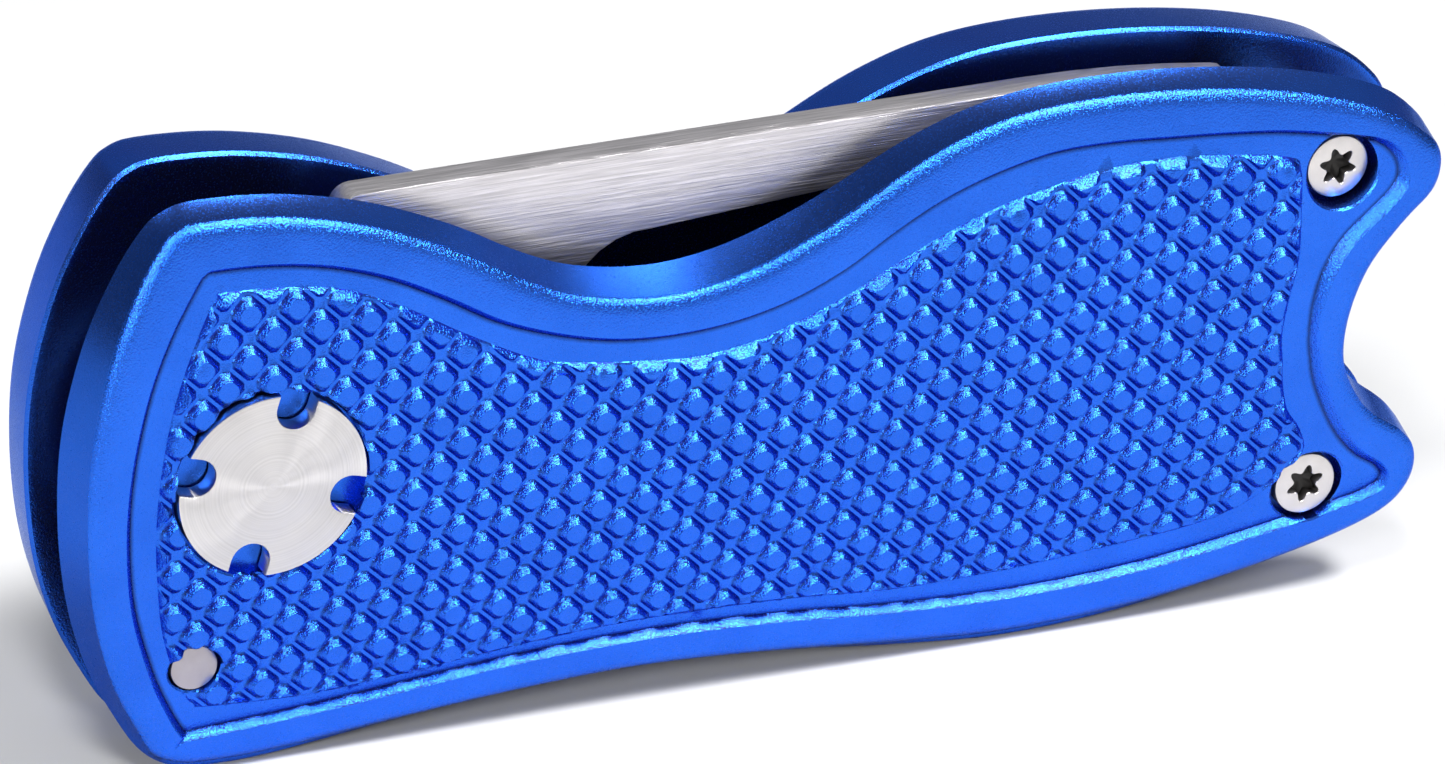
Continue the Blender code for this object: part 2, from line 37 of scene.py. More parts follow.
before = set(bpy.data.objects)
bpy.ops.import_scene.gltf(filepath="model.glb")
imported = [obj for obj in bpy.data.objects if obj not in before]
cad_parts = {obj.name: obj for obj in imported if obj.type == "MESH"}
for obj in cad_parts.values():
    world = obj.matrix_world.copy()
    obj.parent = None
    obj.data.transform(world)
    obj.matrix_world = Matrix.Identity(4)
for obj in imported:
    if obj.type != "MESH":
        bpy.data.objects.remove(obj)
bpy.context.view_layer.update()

# ---- sizes, in millimetres ----

# Levels across the tool, along Y
TEXTURED_FRONT = -6.45
TEXTURED_BACK = -3.05
MARKER_INNER = 2.05
MARKER_OUTER = 6.45
CROWN_RADIUS = 68.5
CROWN_HEIGHT = 19.2         # where along Z the crowned face stands out the most

# Shape of a scale's edges
INNER_CHAMFER = 0.2
DRAFT = 0.35
EXTRA_DRAFT = 0.42          # more draft on the upper and pivot sides of the textured scale
EXTRA_DRAFT_WAY = (0.78, 0.63)
CREST_WIDTH = 0.02          # a ring just outside and below the rim's edge keeps it crisp
CREST_DROP = 0.1
TEXTURED_EDGE_RADIUS = 1.2  # the face rolls off and meets the wall in a crisp edge
TEXTURED_EDGE_ANGLES = (42, 50, 60, 70, 80, 90)
MARKER_EDGE_RADIUS = 1.0
MARKER_EDGE_ANGLES = (0, 18, 36, 54, 72, 90)
BREAK_WIDTH = 0.12          # broken edge around each hole
BREAK_DEPTH = 0.10

# Fineness of the meshes
OUTLINE_STEPS = 4           # straight pieces between two points of the CAD's outline
PANEL_STEPS = 5
TEXTURE_STEPS = 4
PLAIN_SPACING = 1.3         # between the loose points of the smooth areas
FACE_X = (-40, 41)          # a box around the tool's face
FACE_Z = (1, 35)
ROUND_SIDES = 96
COIN_SIDES = 160
SLIM_SIDES = 64
SMALL_SIDES = 32

# Painted shade: how much darker the colour is painted where shade falls, from 0 to 1
HOLE_SHADE = 0.92
SEAT_SHADE = 0.1            # on the seats of the pivot cap and the ball marker
INSIDE_SHADE = 0.7          # between the scales
INNER_EDGE_SHADE = 0.1
WALL_SHADE = 0.25

# How coarse the blasted grain is, from 0 to 1
WALL_GRAIN = 0.08
FACE_GRAIN = 0.35
INSIDE_GRAIN = 0.6
RIM_GRAIN = 0.9
RIM_GRAIN_WIDTH = 1.5
INNER_EDGE_GRAIN = 1.0

# Recessed panel and its texture
PANEL_DEPTH = 0.55
STEP_HALF_WIDTH = 0.2
STEP_EXTRA_AT_BUTT = 0.10   # the step is wider beside the notch of the butt
STEP_EXTRA_X = 32.0
STEP_EXTRA_Z = (8.0, 30.0)
STEP_SHARES = (-1, -0.5, 0, 0.5, 1)
LINE_WIDTH = 0.24           # painted shade: a dark line along the foot of the step
LINE_SHADE = 0.92
FOOT_SHADE = 0.7            # painted shade at the foot of a bump
FOOT_SHARE = 0.2
FIELD_RISE = 0.10           # the channels between the bumps stand proud of the panel's margin
BUMP_PITCH = 1.95
BUMP_TURN = math.radians(45.85)
BUMP_AXES = np.array([[math.cos(BUMP_TURN), math.sin(BUMP_TURN)],
                      [-math.sin(BUMP_TURN), math.cos(BUMP_TURN)]])
BUMP_ORIGIN = (-9.24, 18.18)
BUMP_HALF_BASE = 0.88
BUMP_REACH = 1.0            # bumps whose middle is this near to the field count as in it
BUMP_CORNER_RADIUS = 0.26
BUMP_TOP_RADIUS = 0.53
BUMP_HEIGHT = 0.55
BUMP_SIDES = 20
BUMP_RINGS = (1.0, 0.8, 0.55, 0.14, 0.0)    # edges from the foot of a bump to its top
CUT_WIDTH = 0.50            # slope of the wall that cuts the outer bumps
CUT_SHARES = (0, 0.25, 1)

# Middle of the step around the panel, clockwise from the lower pivot corner
PANEL = [
    (-34.2, 2.9), (-35.1, 4.5), (-36.4, 7.4), (-37.8, 12.0), (-38.3, 16.6), (-38.1, 20.7),
    (-37.25, 24.8), (-35.95, 28.15), (-34.35, 30.9), (-33.9, 31.4), (-33.3, 31.57),
    (-30.2, 31.45), (-26.75, 30.9), (-23.35, 29.8), (-20.1, 28.2), (-16.9, 26.4),
    (-13.4, 25.1), (-9.9, 24.3), (-6.3, 24.1), (-2.8, 24.4), (0.5, 25.2), (3.6, 26.5),
    (6.5, 28.2), (9.5, 29.7), (12.8, 30.8), (16.3, 31.5), (19.9, 31.6), (23.5, 31.4),
    (27.3, 31.15), (31.0, 30.75), (35.3, 29.9), (37.0, 29.3), (38.0, 28.3), (38.2, 27.2),
    (37.7, 26.2), (36.4, 25.05), (34.95, 23.8), (34.0, 22.4), (33.4, 20.8), (33.15, 18.4),
    (33.6, 15.7), (34.4, 13.6), (35.6, 11.4), (37.05, 9.6), (38.5, 8.5), (39.1, 7.6),
    (38.7, 6.8), (37.0, 6.15), (32.2, 5.1), (28.1, 4.3), (24.1, 3.7), (19.8, 3.35),
    (15.6, 3.25), (11.3, 3.4), (7.0, 3.7), (2.7, 4.15), (-1.6, 4.45), (-5.8, 4.6),
    (-10.0, 4.55), (-14.0, 4.35), (-18.0, 4.0), (-25.9, 3.15), (-33.3, 2.6), (-33.9, 2.6),
]
# Edge of the textured field, clockwise from its lower pivot corner
TEXTURE = [
    (-33.6, 4.7), (-34.5, 5.9), (-35.8, 9.6), (-36.35, 13.0), (-36.6, 16.2), (-36.5, 19.3),
    (-36.0, 22.8), (-35.2, 25.65), (-34.0, 28.6), (-33.2, 29.9), (-32.5, 30.2), (-26.75, 29.65),
    (-22.7, 28.05), (-18.65, 25.75), (-14.5, 23.7), (-11.0, 23.0), (-7.4, 22.6), (-5.0, 22.45),
    (-2.0, 22.8), (1.0, 23.7), (4.0, 24.85), (7.0, 26.35), (10.0, 27.65), (13.0, 28.7),
    (16.1, 29.4), (19.2, 29.95), (22.3, 30.1), (25.4, 30.0), (30.9, 29.2), (31.8, 28.3),
    (31.9, 26.0), (31.9, 22.9), (31.45, 20.45), (31.2, 18.3), (31.4, 16.6), (31.6, 15.0),
    (32.1, 13.2), (33.1, 11.7), (33.5, 9.9), (31.3, 7.6), (27.6, 6.1), (21.4, 5.4),
    (15.2, 4.9), (8.95, 4.8), (2.7, 5.3), (-3.5, 5.55), (-9.55, 5.5), (-15.5, 5.05),
    (-21.4, 4.4), (-27.3, 4.05), (-32.8, 4.35),
]

# Places in the XZ plane, and fits
PIVOT = (-30.1, 18.67)
UPPER_SCREW = (34.46, 27.83)
LOWER_SCREW = (34.22, 7.58)
STOP_PIN = (-33.77, 7.22)
BUTTON = (-24.3, 7.3)
MARKER = (-10.5, 14.6)
GAP = 0.15

# Pivot
CAP_RADIUS = 5.46
CAP_THICKNESS = 1.2
CAP_FRONT = -6.40
CAP_EDGE = 0.10
NOTCH_HALF_WIDTH = 1.12
NOTCH_DEPTH = 1.95
NOTCH_FIRST_ANGLE = -15.0   # degrees, about the pivot from +X towards +Z
STEM_RADIUS = 2.0
STEM_OVERLAP = 0.3
STEM_END = 4.0
BARREL_RADIUS = 3.4
BARREL_FRONT = -4.95
FLANGE_RADIUS = 5.0
FLANGE_THICKNESS = 1.2
FLANGE_TOP = 6.30
FLANGE_CHAMFER = 0.2
SPANNER_HOLE_RADIUS = 0.6
SPANNER_HOLE_OFFSET = 3.1
SPANNER_HOLE_DEPTH = 0.7
SPRING_WELL_RADIUS = 6.4
SPRING_WELL_FLOOR = 3.05

# Screws and stop pin
HEAD_RADIUS = 1.9
HEAD_THICKNESS = 0.9
HEAD_EDGE = 0.12
SHANK_RADIUS = 0.95
SHANK_LENGTH = 3.6
SHANK_CHAMFER = 0.2
RECESS_RADIUS = 2.25
STAR_OUTER = 1.15
STAR_INNER = 0.71
STAR_DEPTH = 0.7
STAR_SHARPNESS = 1.3        # above 1 the lobes are narrower than the lands between them
STAR_EDGE = 0.04
TEXTURED_HEAD_TOP = -4.70
MARKER_HEAD_TOP = 6.20
STOP_PIN_RADIUS = 1.37
STOP_PIN_FRONT = -4.80
STOP_PIN_BACK = 4.60
STOP_PIN_EDGE = 0.1

# Push button and ball marker
BUTTON_RADIUS = 2.4
BUTTON_STEP = 3.0
PLUNGER_RADIUS = 1.4
MARKER_RADIUS = 10.0
MARKER_TOP = 6.40
MARKER_THICKNESS = 1.5
MARKER_RIM = 1.3
COIN_ROUNDING = 0.3
COIN_ANGLES = (30, 60, 90)
COIN_CHAMFER = 0.2
COIN_LIP = 0.08
INLAY_DEPTH = 0.55
INLAY_CHAMFER = 0.1
GROOVE_OUTER = 6.3
GROOVE_INNER = 5.8
GROOVE_DEPTH = 0.12
GROOVE_SLOPE = 0.1
MAGNET_RADIUS = 4.0
MAGNET_THICKNESS = 1.1
FINGER_NOTCH_RADIUS = 3.0
FINGER_NOTCH_FLOOR = 5.3
FINGER_NOTCH_OFFSET = 1.2   # from the edge of the ball marker to the middle of the notch
FINGER_NOTCH_SLOPE = 1.1
FINGER_NOTCH_RINGS = (0.0, 0.2, 0.5, 0.9)
PAD_WIDTH = 1.2             # smooth raised ring around each hole of the marker face
PAD_SLOPE = 0.3
PAD_MARGIN = 0.9            # smooth floor between a pad and the bumps

# Fork
FORK_BROKEN_EDGE = 0.12


# A round hole in a scale; steps are (radius, y) rings from the outer face inwards, and shade is
# the painted shade on its walls
Hole = namedtuple("Hole", "centre radius steps shade")


# ---- flat outlines ----

def smooth_loop(points, steps):
    """Closed Catmull-Rom curve through the points."""
    knots = np.array(points, float)
    before, after = np.roll(knots, 1, 0), np.roll(knots, -1, 0)
    beyond = np.roll(knots, -2, 0)
    pieces = []
    for step in range(steps):
        t = step / steps
        bend = 2 * before - 5 * knots + 4 * after - beyond
        twist = 3 * knots - before - 3 * after + beyond
        pieces.append(knots + 0.5 * t * ((after - before) + t * (bend + t * twist)))
    return np.stack(pieces, 1).reshape(-1, 2)


def inset_loop(loop, distance):
    """Move each point of a clockwise loop towards its inside; distance may be one per point."""
    along = np.roll(loop, -1, 0) - np.roll(loop, 1, 0)
    along /= np.linalg.norm(along, axis=1)[:, None]
    inward = np.stack([along[:, 1], -along[:, 0]], 1)
    return loop + inward * np.reshape(distance, (-1, 1))


def circle(centre, radius, count, first_angle=0.0):
    """Points of a circle, from +X towards +Z."""
    turns = first_angle + np.arange(count) * math.tau / count
    return np.stack([centre[0] + radius * np.cos(turns), centre[1] + radius * np.sin(turns)], 1)


def signed_distance(points, loop):
    """Distance of each point from the loop, positive inside it."""
    start, end = loop, np.roll(loop, -1, 0)
    run = end - start
    length_squared = (run ** 2).sum(1)
    result = np.empty(len(points))
    batch = 4000
    for first in range(0, len(points), batch):
        part = points[first:first + batch, None, :]
        share = np.clip(((part - start) * run).sum(2) / length_squared, 0, 1)
        nearest = start + share[..., None] * run
        distance = np.sqrt(((part - nearest) ** 2).sum(2)).min(1)
        above = (start[:, 1] > part[..., 1]) != (end[:, 1] > part[..., 1])
        rise = np.where(run[:, 1] == 0, 1e-12, run[:, 1])
        cross_x = start[:, 0] + (part[..., 1] - start[:, 1]) * run[:, 0] / rise
        inside = (above & (part[..., 0] < cross_x)).sum(1) % 2 == 1
        result[first:first + batch] = np.where(inside, distance, -distance)
    return result


def ease(t):
    """Smooth step from 0 to 1."""
    t = np.clip(t, 0, 1)
    return t * t * (3 - 2 * t)


def cad_outline(node, level):
    """The ring of a CAD node's corners at Y = level, clockwise, as (x, z)."""
    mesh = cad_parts[node].data
    corners = {}
    place = []
    for vertex in mesh.vertices:
        key = tuple(np.round(np.array(vertex.co) / MM, 4))
        place.append(corners.setdefault(key, len(corners)))
    spots = list(corners)
    following = {}
    for edge in mesh.edges:
        a, b = (place[i] for i in edge.vertices)
        if a != b and all(abs(spots[i][1] - level) < 1e-3 for i in (a, b)):
            following.setdefault(a, set()).add(b)
            following.setdefault(b, set()).add(a)
    start = min(following, key=lambda i: spots[i][0])
    ring, last = [start], None
    while True:
        ahead = [i for i in following[ring[-1]] if i != last]
        last = ring[-1]
        if ahead[0] == start or len(ring) > len(spots):
            break
        ring.append(ahead[0])
    loop = np.array([(spots[i][0], spots[i][2]) for i in ring])
    area = (loop[:, 0] * np.roll(loop[:, 1], -1) - np.roll(loop[:, 0], -1) * loop[:, 1]).sum()
    return loop if area < 0 else loop[::-1]


# ---- meshes ----

def new_piece(name, vertices, faces, body, finish, replaces=(), sharp=35, shade=None,
              grain=None):
    """A closed piece from millimetre points, riding on a body.

    shade and grain are optional values per corner: shade is painted shade, how much darker the
    colour is painted in crevices, holes and between the scales, and grain is how coarse the
    blasted grain is.
    """
    mesh = bpy.data.meshes.new(name)
    mesh.from_pydata([tuple(c * MM for c in v) for v in vertices], [], faces)
    for key, values in (("shade", shade), ("grain", grain)):
        if values is not None:
            mesh.attributes.new(key, "FLOAT", "POINT").data.foreach_set("value", values)
    return finish_piece(name, mesh, body, finish, replaces, sharp)


def finish_piece(name, mesh, body, finish, replaces, sharp):
    """An object from a mesh in metres, riding on a body; edges above sharp degrees stay sharp."""
    work = bmesh.new()
    work.from_mesh(mesh)
    bmesh.ops.dissolve_degenerate(work, edges=work.edges, dist=1e-7)
    bmesh.ops.recalc_face_normals(work, faces=work.faces)
    work.to_mesh(mesh)
    work.free()
    mesh.shade_smooth()
    mesh.set_sharp_from_angle(angle=math.radians(sharp))
    piece = bpy.data.objects.new(name, mesh)
    bpy.context.scene.collection.objects.link(piece)
    piece.data.materials.append(finish)
    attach(piece, body)
    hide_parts(*replaces)
    return piece


def fill_loop(loops, creases=(), points=()):
    """Triangles between an outer loop and the holes in it, with more edges inside.

    Returns the points, the triangles and, for each loop, where its points ended up.
    """
    corners = []
    edges = []
    for loop in list(loops) + list(creases):
        first, count = len(corners), len(loop)
        corners += [Vector(p) for p in loop]
        edges += [(first + i, first + (i + 1) % count) for i in range(count)]
    corners += [Vector(p) for p in points]
    spots, _, triangles, origins, _, _ = delaunay_2d_cdt(corners, edges, [], 1, 1e-5)
    spots = np.array(spots)
    triangles = np.array(triangles)
    middles = spots[triangles].mean(1)
    keep = signed_distance(middles, np.array(loops[0])) > 0
    for hole in loops[1:]:
        keep &= signed_distance(middles, np.array(hole)) < 0
    home = {}
    for index, sources in enumerate(origins):
        for source in sources:
            home[source] = index
    places = []
    first = 0
    for loop in loops:
        places.append([home[first + i] for i in range(len(loop))])
        first += len(loop)
    return spots, triangles[keep], places


def chain_along(spots, triangles, hole):
    """Corners along the edge of a round hole, in order of their angle, with those angles."""
    centre, radius = np.array(hole.centre), hole.radius
    sides = np.sort(np.concatenate([triangles[:, [0, 1]], triangles[:, [1, 2]],
                                    triangles[:, [2, 0]]]), axis=1)
    sides, uses = np.unique(sides, axis=0, return_counts=True)
    border = np.unique(sides[uses == 1])
    away = spots[border] - centre
    near = np.abs(np.hypot(*away.T) - radius) < 0.02
    border, away = border[near], away[near]
    angles = np.arctan2(away[:, 1], away[:, 0])
    order = np.argsort(angles)
    return list(border[order]), angles[order]


def wall_draft(outline, extra):
    """Inset of the outer edge along the outline.

    extra is added where the clockwise outline runs along EXTRA_DRAFT_WAY, which is where the wall
    faces up or back towards the pivot end.
    """
    along = np.roll(outline, -1, 0) - np.roll(outline, 1, 0)
    along /= np.linalg.norm(along, axis=1)[:, None]
    facing = along @ np.array(EXTRA_DRAFT_WAY)
    return DRAFT + extra * ease((facing + 0.2) / 0.6)


class ScaleMesh:
    """Corners, faces, painted shade and grain values of a scale while it is put together."""

    def __init__(self):
        self.vertices, self.faces, self.shade, self.grain = [], [], [], []

    def add_points(self, points, y, shade=0.0, grain=0.0):
        """Add (x, z) points at Y = y and return their numbers."""
        first = len(self.vertices)
        count = len(points)
        self.vertices.extend(zip(points[:, 0], np.broadcast_to(y, count), points[:, 1]))
        self.shade.extend(np.broadcast_to(shade, count))
        self.grain.extend(np.broadcast_to(grain, count))
        return list(range(first, first + count))

    def join(self, ring, following):
        """A band of faces between two closed rings of the same length."""
        for i in range(len(ring)):
            j = (i + 1) % len(ring)
            self.faces.append((ring[i], ring[j], following[j], following[i]))

    def finish(self, name, node):
        new_piece(name, self.vertices, self.faces, "handle", BLUE, [node],
                  shade=self.shade, grain=self.grain)


def scale_mesh(outline, outer_y, inner_y, edge, creases, holes, shape_at):
    """Put a scale together.

    edge is (draft, radius, angles) of the rim. shape_at(points) gives how deep the outer face
    lies below outer_y at each point, its painted shade and its grain.
    """
    made = ScaleMesh()
    away = 1.0 if inner_y > outer_y(np.array([[0.0, CROWN_HEIGHT]]))[0] else -1.0
    inner_loop = inset_loop(outline, INNER_CHAMFER)
    # the chamfer towards the fork carries a light painted shade
    inner_ring = made.add_points(inner_loop, inner_y, INNER_EDGE_SHADE, INNER_EDGE_GRAIN)
    last_ring, rim = add_wall(made, outline, outer_y, inner_y, inner_ring, edge, away)

    mouths = [circle(hole.centre, hole.radius, ROUND_SIDES) for hole in holes]
    spots, triangles, places = fill_loop([rim] + mouths, creases, plain_points(rim))
    used = np.unique(triangles)
    depth, shade, grain = shape_at(spots[used])
    rim_share = ease(1 - signed_distance(spots[used], rim) / RIM_GRAIN_WIDTH)
    grain = np.maximum(grain, RIM_GRAIN * rim_share)
    placed = made.add_points(spots[used], outer_y(spots[used]) + away * depth, shade, grain)
    new_index = dict(zip(used, placed))
    made.faces.extend(tuple(new_index[i] for i in t) for t in triangles)
    made.join(last_ring, [new_index[i] for i in places[0]])

    inner_loops = [inner_loop]
    inner_rings = [inner_ring]
    for hole in holes:
        chain, turns = chain_along(spots, triangles, hole)
        ring = [new_index[i] for i in chain]
        spokes = np.stack([np.cos(turns), np.sin(turns)], 1)
        for step_radius, y in hole.steps:
            loop = np.array(hole.centre) + step_radius * spokes
            # the walls of the hole carry the hole's painted shade
            following = made.add_points(loop, y, hole.shade)
            made.join(ring, following)
            ring = following
        if abs(hole.steps[-1][1] - inner_y) < 1e-6:
            inner_loops.append(loop)
            inner_rings.append(ring)
        else:
            made.faces.append(tuple(ring))
    add_inner_face(made, outline, inner_y, inner_loops, inner_rings)
    return made


def add_wall(made, outline, outer_y, inner_y, inner_ring, edge, away):
    """The wall and the roll-off of the rim; returns their last ring and where the face starts."""
    draft, edge_radius, angles = edge
    run = math.cos(math.radians(angles[0]))
    edge_level = (outer_y(inset_loop(outline, draft))
                  + away * edge_radius * (1 - math.sin(math.radians(angles[0]))))
    crest = inset_loop(outline, np.maximum(draft - CREST_WIDTH, 0))
    # the outer rings of the wall carry painted shade, so the side walls are painted darker
    rings = [inner_ring,
             made.add_points(outline, inner_y - away * INNER_CHAMFER, WALL_SHADE, WALL_GRAIN),
             made.add_points(crest, edge_level + away * CREST_DROP, WALL_SHADE, WALL_GRAIN)]
    for angle in angles[:-1]:
        turn = math.radians(angle)
        loop = inset_loop(outline, draft + edge_radius * (run - math.cos(turn)))
        level = outer_y(loop) + away * edge_radius * (1 - math.sin(turn))
        rings.append(made.add_points(loop, level, 0.0, RIM_GRAIN))
    for ring, following in zip(rings, rings[1:]):
        made.join(ring, following)
    return rings[-1], inset_loop(outline, draft + edge_radius * run)


def add_inner_face(made, outline, inner_y, loops, rings):
    """The flat face towards the fork, between the outline and the holes that come through."""
    margin = inset_loop(outline, 3 * INNER_CHAMFER)
    spots, triangles, places = fill_loop(loops, [margin])
    known = {}
    for place, ring in zip(places, rings):
        known.update(zip(place, ring))
    others = [i for i in np.unique(triangles) if i not in known]
    # painted shade over the inner face, between the scales
    placed = made.add_points(spots[others], inner_y, INSIDE_SHADE, INSIDE_GRAIN)
    known.update(zip(others, placed))
    made.faces.extend(tuple(known[i] for i in t) for t in triangles)


def plain_points(rim):
    """Loose points that keep the smooth areas of a face evenly meshed."""
    x, z = np.meshgrid(np.arange(*FACE_X, PLAIN_SPACING), np.arange(*FACE_Z, PLAIN_SPACING))
    spots = np.stack([x.ravel(), z.ravel()], 1)
    return spots[signed_distance(spots, rim) > PLAIN_SPACING / 2]


def turned_mesh(profile, centre, sides=ROUND_SIDES):
    """Corners and faces of a closed (radius, y) profile turned about the line through centre."""
    vertices, rings, faces = [], [], []
    for radius, y in profile:
        first = len(vertices)
        if radius < 1e-9:
            rings.append([first] * sides)
            vertices.append((centre[0], y, centre[1]))
        else:
            rings.append(list(range(first, first + sides)))
            vertices += [(x, y, z) for x, z in circle(centre, radius, sides)]
    for ring, following in zip(rings, rings[1:] + rings[:1]):
        for i in range(sides):
            j = (i + 1) % sides
            corners = list(dict.fromkeys([ring[i], ring[j], following[j], following[i]]))
            if len(corners) > 2:
                faces.append(tuple(corners))
    return vertices, faces


def lofted_mesh(rings):
    """Corners and faces of a closed solid through (loop, y) rings, filled at both ends."""
    vertices, faces = [], []
    for loop, y in rings:
        vertices += [(x, y, z) for x, z in loop]
    count = len(rings[0][0])
    for k in range(len(rings) - 1):
        for i in range(count):
            j = (i + 1) % count
            faces.append((k * count + i, k * count + j, (k + 1) * count + j, (k + 1) * count + i))
    for k in (0, len(rings) - 1):
        _, triangles, places = fill_loop([rings[k][0]])
        back = {spot: k * count + i for i, spot in enumerate(places[0])}
        faces += [tuple(back[i] for i in t) for t in triangles]
    return vertices, faces


# ---- the textured relief ----

def step_half_width(points):
    """Half the width of the step around the panel, near each point."""
    x, z = points[:, 0], points[:, 1]
    low, high = STEP_EXTRA_Z
    beside = ease((x - STEP_EXTRA_X) / 2.0) * ease((z - low) / 3.0) * ease((high - z) / 2.0)
    return STEP_HALF_WIDTH + STEP_EXTRA_AT_BUTT * beside


def rounded_square(half, corner, count):
    """Points of a rounded square, at even steps of their direction, found by halving."""
    points = []
    for turn in np.arange(count) * math.tau / count:
        way = np.array([abs(math.cos(turn)), abs(math.sin(turn))])
        low, high = 0.0, half * 1.5
        for _ in range(24):
            reach = (low + high) / 2
            if square_depth((way * reach)[None, :], half, corner)[0] > 0:
                low = reach
            else:
                high = reach
        points.append((low * math.cos(turn), low * math.sin(turn)))
    return np.array(points)


def square_depth(local, half, corner):
    """How far inside a rounded square each point is."""
    beyond = np.abs(local) - (half - corner)
    outside = np.hypot(*np.maximum(beyond, 0).T)
    return corner - outside - np.minimum(beyond.max(1), 0)


def bump_share(points):
    """Height of the lattice of flat-topped bumps at each point, from 0 at the foot to 1."""
    lattice = (points - np.array(BUMP_ORIGIN)) @ BUMP_AXES.T
    local = lattice - BUMP_PITCH * np.round(lattice / BUMP_PITCH)
    from_base = np.maximum(square_depth(local, BUMP_HALF_BASE, BUMP_CORNER_RADIUS), 0)
    from_top = np.maximum(np.hypot(*local.T) - BUMP_TOP_RADIUS, 0)
    return from_base / (from_base + from_top + 1e-9)


def bump_centres(field):
    """Middles of the bumps that reach into the field."""
    steps = np.arange(-30, 31) * BUMP_PITCH
    across, up = np.meshgrid(steps, steps)
    spots = np.array(BUMP_ORIGIN) + np.stack([across.ravel(), up.ravel()], 1) @ BUMP_AXES
    x, z = spots.T
    spots = spots[(x > FACE_X[0]) & (x < FACE_X[1]) & (z > FACE_Z[0]) & (z < FACE_Z[1])]
    return spots[signed_distance(spots, field) > -BUMP_REACH]


def bump_creases(centres):
    """Rings of edges around each bump, from its foot to its top."""
    foot = rounded_square(BUMP_HALF_BASE, BUMP_CORNER_RADIUS, BUMP_SIDES) @ BUMP_AXES
    top = circle((0, 0), BUMP_TOP_RADIUS, BUMP_SIDES) @ BUMP_AXES
    rings = [top + down * (foot - top) for down in BUMP_RINGS]
    return [centre + ring for centre in centres for ring in rings]


def relief(holes, pads):
    """Creases and shape function of a scale's outer face; pads are (centre, radius)."""
    panel = smooth_loop(PANEL, PANEL_STEPS)
    field = smooth_loop(TEXTURE, TEXTURE_STEPS)
    half_width = step_half_width(panel)
    creases = [inset_loop(panel, share * half_width) for share in STEP_SHARES]
    creases.append(inset_loop(panel, half_width + LINE_WIDTH))
    creases += [inset_loop(field, share * CUT_WIDTH) for share in CUT_SHARES]
    creases += [circle(hole.centre, hole.radius + BREAK_WIDTH, ROUND_SIDES) for hole in holes]
    creases += [circle(centre, radius + extra, ROUND_SIDES) for centre, radius in pads
                for extra in (0.0, PAD_SLOPE, PAD_MARGIN, PAD_MARGIN + CUT_WIDTH)]
    centres = bump_centres(field)
    for centre, radius in pads:
        centres = centres[np.hypot(*(centres - np.array(centre)).T) > radius]
    creases += bump_creases(centres)

    def shape_at(points):
        width = step_half_width(points)
        from_step = signed_distance(points, panel)
        down = np.clip((from_step + width) / (2 * width), 0, 1)
        depth = PANEL_DEPTH * (0.75 * down + 0.25 * ease(down))
        share = bump_share(points)
        cut = signed_distance(points, field)
        for centre, radius in pads:
            out = np.hypot(*(points - np.array(centre)).T) - radius
            depth = np.minimum(depth, PANEL_DEPTH * ease(out / PAD_SLOPE))
            cut = np.minimum(cut, out - PAD_MARGIN)
        height = FIELD_RISE + BUMP_HEIGHT * (0.7 * share + 0.3 * ease(share))
        wall = (FIELD_RISE + BUMP_HEIGHT) * np.clip(cut / CUT_WIDTH, 0, 1)
        depth = depth - np.minimum(np.minimum(height, wall), depth)
        for hole in holes:
            out = np.hypot(*(points - np.array(hole.centre)).T) - hole.radius
            depth = depth + BREAK_DEPTH * np.clip(1 - out / BREAK_WIDTH, 0, 1)
        shade = crevice_shade(share, cut, down, from_step - width)
        return depth, shade, relief_grain(share, cut, down)

    return creases, shape_at


def crevice_shade(share, cut, down, past_step):
    """Painted shade at the foot of the bumps and along the foot of the step."""
    foot = np.clip(1 - np.abs(share - FOOT_SHARE) / FOOT_SHARE, 0, 1) * (cut > 0.3 * CUT_WIDTH)
    line = ease(3 * down - 2) * ease(1 - past_step / LINE_WIDTH)
    return np.maximum(FOOT_SHADE * foot, LINE_SHADE * line)


def relief_grain(share, cut, down):
    """Coarse grain on the slopes of the bumps and of the step, finer grain elsewhere."""
    sloping = (share < 0.97) | (cut < CUT_WIDTH)
    on_bumps = np.clip(3 * share, 0, 1) * sloping * (cut > 0)
    on_step = ease(4 * down) * ease(4 - 4 * down)
    return np.maximum(np.maximum(on_bumps, on_step), FACE_GRAIN)


# ---- finishes ----

